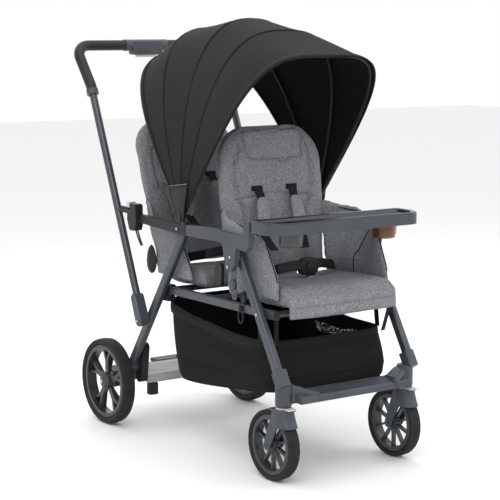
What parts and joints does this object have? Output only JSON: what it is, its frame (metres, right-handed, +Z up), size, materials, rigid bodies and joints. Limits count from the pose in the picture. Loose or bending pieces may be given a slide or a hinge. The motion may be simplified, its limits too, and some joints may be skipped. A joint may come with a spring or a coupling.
{
  "type": "sit and stand tandem stroller",
  "caption": "Folding tandem stroller with two forward seats, sun canopy, child tray, storage basket and a rear standing platform on swivel and fixed wheels.",
  "frame": {"origin": "on the ground, midway along and across the overall box", "axes": "+Z up, -Y towards the front wheels, +X across"},
  "size_m": [0.548, 1.0606, 1.1929],
  "materials": {
    "slate": "satin slate",
    "slate_plastic": "satin moulded",
    "black_plastic": "fine textured",
    "pale_plastic": "satin",
    "tyre": "textured tread",
    "rim": "satin moulded",
    "grip": "soft grain",
    "steel": "zinc plated",
    "tray_top": "gloss",
    "amber": "translucent amber plastic",
    "canopy": "plain weave",
    "seat": "grey melange weave",
    "basket": "plain weave and mesh",
    "deck": "ribbed"
  },
  "bodies": {
    "rear_frame": {"rear_legs": "slate", "axle_housings": "slate_plastic", "rear_axle": "steel", "standing_platform": "deck", "platform_brackets": "black_plastic", "rail_saddles": "black_plastic", "rear_leg_bolts": "steel", "basket": "basket"},
    "brake": {"brake_pedal": "black_plastic"},
    "rear_wheel_left": {"rear_tyre_left": "tyre", "rear_rim_left": "rim"},
    "rear_wheel_right": {"rear_tyre_right": "tyre", "rear_rim_right": "rim"},
    "push_bar": {"push_tube": "slate", "grips": "grip", "grip_collars": "slate_plastic", "handle_hub": "slate_plastic", "push_clevises": "slate_plastic"},
    "handle_release": {"handle_button": "pale_plastic"},
    "armrest": {"armrests": "slate_plastic", "top_rails": "black_plastic", "fold_latches": "black_plastic", "armrest_bolts": "steel", "canopy_mounts": "black_plastic", "canopy_bow_4": "black_plastic", "canopy_fabric": "canopy"},
    "latch_release_left": {"latch_button_left": "pale_plastic"},
    "latch_release_right": {"latch_button_right": "pale_plastic"},
    "tray": {"tray_rim": "slate_plastic", "tray_deck": "tray_top", "cup_holders": "amber"},
    "brace_upper": {"brace_upper_links": "slate"},
    "brace_lower": {"brace_lower_links": "slate"},
    "canopy_front_bow": {"canopy_bow_1": "black_plastic"},
    "canopy_second_bow": {"canopy_bow_2": "black_plastic"},
    "canopy_third_bow": {"canopy_bow_3": "black_plastic"},
    "front_leg": {"front_legs": "slate", "corner_housings": "slate_plastic", "front_step": "slate_plastic"},
    "caster_left": {"caster_fork_left": "slate_plastic"},
    "caster_right": {"caster_fork_right": "slate_plastic"},
    "swivel_lock_left": {"swivel_lever_left": "pale_plastic"},
    "swivel_lock_right": {"swivel_lever_right": "pale_plastic"},
    "front_wheel_left": {"front_tyre_left": "tyre", "front_rim_left": "rim"},
    "front_wheel_right": {"front_tyre_right": "tyre", "front_rim_right": "rim"},
    "seat_frame": {"seat_frame": "slate", "rail_fittings": "black_plastic", "seat_rail_bolts": "steel", "front_seat_pan": "seat", "rear_seat_pan": "seat", "front_buckle": "black_plastic", "rear_buckle": "black_plastic"},
    "front_buckle_release": {"front_buckle_button": "black_plastic"},
    "rear_buckle_release": {"rear_buckle_button": "black_plastic"},
    "front_back_hub": {"front_recline_hubs": "black_plastic"},
    "front_back": {"front_backrest": "seat"},
    "rear_back_hub": {"rear_recline_hubs": "black_plastic"},
    "rear_back": {"rear_backrest": "seat"}
  },
  "joints": [
    {"name": "frame_fold", "type": "hinge", "parent": "rear_frame", "child": "armrest", "pos_m": [0, -0.05131, 0.62], "axis": [1, 0, 0], "range_deg": [0, 70], "deforming": ["basket"]},
    {"name": "push_bar_fold", "type": "hinge", "parent": "rear_frame", "child": "push_bar", "pos_m": [0, 0.14569, 0.335], "axis": [1, 0, 0], "range_deg": [0, 25.2]},
    {"name": "front_leg_fold", "type": "hinge", "parent": "armrest", "child": "front_leg", "pos_m": [0, -0.30431, 0.572], "axis": [1, 0, 0], "range_deg": [-14, 0]},
    {"name": "seat_frame_fold", "type": "hinge", "parent": "front_leg", "child": "seat_frame", "pos_m": [0, -0.38831, 0.43], "axis": [1, 0, 0], "range_deg": [0, 28]},
    {"name": "brace_upper_fold", "type": "hinge", "parent": "armrest", "child": "brace_upper", "pos_m": [0, -0.29331, 0.545], "axis": [1, 0, 0], "range_deg": [-19.6, 0]},
    {"name": "brace_lower_fold", "type": "hinge", "parent": "brace_upper", "child": "brace_lower", "pos_m": [0, -0.29231, 0.497], "axis": [1, 0, 0], "range_deg": [-93.31, 0]},
    {"name": "front_back_fold", "type": "hinge", "parent": "seat_frame", "child": "front_back_hub", "pos_m": [0, -0.16931, 0.52], "axis": [1, 0, 0], "range_deg": [0, 35]},
    {"name": "rear_back_fold", "type": "hinge", "parent": "seat_frame", "child": "rear_back_hub", "pos_m": [0, 0.16669, 0.526], "axis": [1, 0, 0], "range_deg": [-21, 0]},
    {"name": "front_recline", "type": "hinge", "parent": "front_back_hub", "child": "front_back", "pos_m": [0, -0.16931, 0.52], "axis": [1, 0, 0], "range_deg": [-20, 0]},
    {"name": "rear_recline", "type": "hinge", "parent": "rear_back_hub", "child": "rear_back", "pos_m": [0, 0.16669, 0.526], "axis": [1, 0, 0], "range_deg": [-15, 0]},
    {"name": "canopy_fold", "type": "hinge", "parent": "armrest", "child": "canopy_front_bow", "pos_m": [0, -0.05131, 0.655], "axis": [-1, 0, 0], "range_deg": [0, 58], "deforming": ["canopy_fabric"]},
    {"name": "canopy_second_fold", "type": "hinge", "parent": "armrest", "child": "canopy_second_bow", "pos_m": [0, -0.05131, 0.655], "axis": [-1, 0, 0], "range_deg": [0, 43.5]},
    {"name": "canopy_third_fold", "type": "hinge", "parent": "armrest", "child": "canopy_third_bow", "pos_m": [0, -0.05131, 0.655], "axis": [-1, 0, 0], "range_deg": [0, 13.5]},
    {"name": "tray_slide", "type": "slide", "parent": "armrest", "child": "tray", "axis": [0, -1, 0], "range_m": [0, 0.06]},
    {"name": "brake_press", "type": "hinge", "parent": "rear_frame", "child": "brake", "pos_m": [0, 0.37269, 0.15], "axis": [1, 0, 0], "range_deg": [-15, 0], "stiffness_Nm_per_rad": 1.5, "springref_deg": 5.73},
    {"name": "rear_wheel_left_spin", "type": "hinge", "parent": "rear_frame", "child": "rear_wheel_left", "pos_m": [-0.25, 0.33269, 0.127], "axis": [1, 0, 0], "continuous": true},
    {"name": "rear_wheel_right_spin", "type": "hinge", "parent": "rear_frame", "child": "rear_wheel_right", "pos_m": [0.25, 0.33269, 0.127], "axis": [1, 0, 0], "continuous": true},
    {"name": "handle_release_press", "type": "slide", "parent": "push_bar", "child": "handle_release", "axis": [0, 0, 1], "range_m": [0, 0.005], "stiffness_N_per_m": 300},
    {"name": "latch_left_press", "type": "slide", "parent": "armrest", "child": "latch_release_left", "axis": [0, 0, -1], "range_m": [0, 0.005], "stiffness_N_per_m": 300},
    {"name": "latch_right_press", "type": "slide", "parent": "armrest", "child": "latch_release_right", "axis": [0, 0, -1], "range_m": [0, 0.005], "stiffness_N_per_m": 300},
    {"name": "front_buckle_press", "type": "slide", "parent": "seat_frame", "child": "front_buckle_release", "axis": [0, 1, 0], "range_m": [0, 0.0025], "stiffness_N_per_m": 300},
    {"name": "rear_buckle_press", "type": "slide", "parent": "seat_frame", "child": "rear_buckle_release", "axis": [0, 1, 0], "range_m": [0, 0.0025], "stiffness_N_per_m": 300},
    {"name": "caster_left_swivel", "type": "hinge", "parent": "front_leg", "child": "caster_left", "pos_m": [-0.204, -0.47731, 0.2], "axis": [0, 0, 1], "continuous": true},
    {"name": "swivel_lock_left_turn", "type": "hinge", "parent": "caster_left", "child": "swivel_lock_left", "pos_m": [-0.204, -0.47731, 0.1995], "axis": [0, 0, 1], "range_deg": [0, 30]},
    {"name": "front_wheel_left_spin", "type": "hinge", "parent": "caster_left", "child": "front_wheel_left", "pos_m": [-0.204, -0.43531, 0.094], "axis": [1, 0, 0], "continuous": true},
    {"name": "caster_right_swivel", "type": "hinge", "parent": "front_leg", "child": "caster_right", "pos_m": [0.204, -0.47731, 0.2], "axis": [0, 0, 1], "continuous": true},
    {"name": "swivel_lock_right_turn", "type": "hinge", "parent": "caster_right", "child": "swivel_lock_right", "pos_m": [0.204, -0.47731, 0.1995], "axis": [0, 0, 1], "range_deg": [0, 30]},
    {"name": "front_wheel_right_spin", "type": "hinge", "parent": "caster_right", "child": "front_wheel_right", "pos_m": [0.204, -0.43531, 0.094], "axis": [1, 0, 0], "continuous": true}
  ],
  "couplings": [
    {"joint": "push_bar_fold", "follows": "frame_fold", "ratio": 0.36},
    {"joint": "front_leg_fold", "follows": "frame_fold", "ratio": -0.2},
    {"joint": "seat_frame_fold", "follows": "frame_fold", "ratio": 0.4},
    {"joint": "brace_upper_fold", "follows": "frame_fold", "ratio": -0.28},
    {"joint": "brace_lower_fold", "follows": "frame_fold", "ratio": -1.333},
    {"joint": "front_back_fold", "follows": "frame_fold", "ratio": 0.5},
    {"joint": "rear_back_fold", "follows": "frame_fold", "ratio": -0.3},
    {"joint": "canopy_second_fold", "follows": "canopy_fold", "ratio": 0.75},
    {"joint": "canopy_third_fold", "follows": "canopy_fold", "ratio": 0.2327}
  ]
}
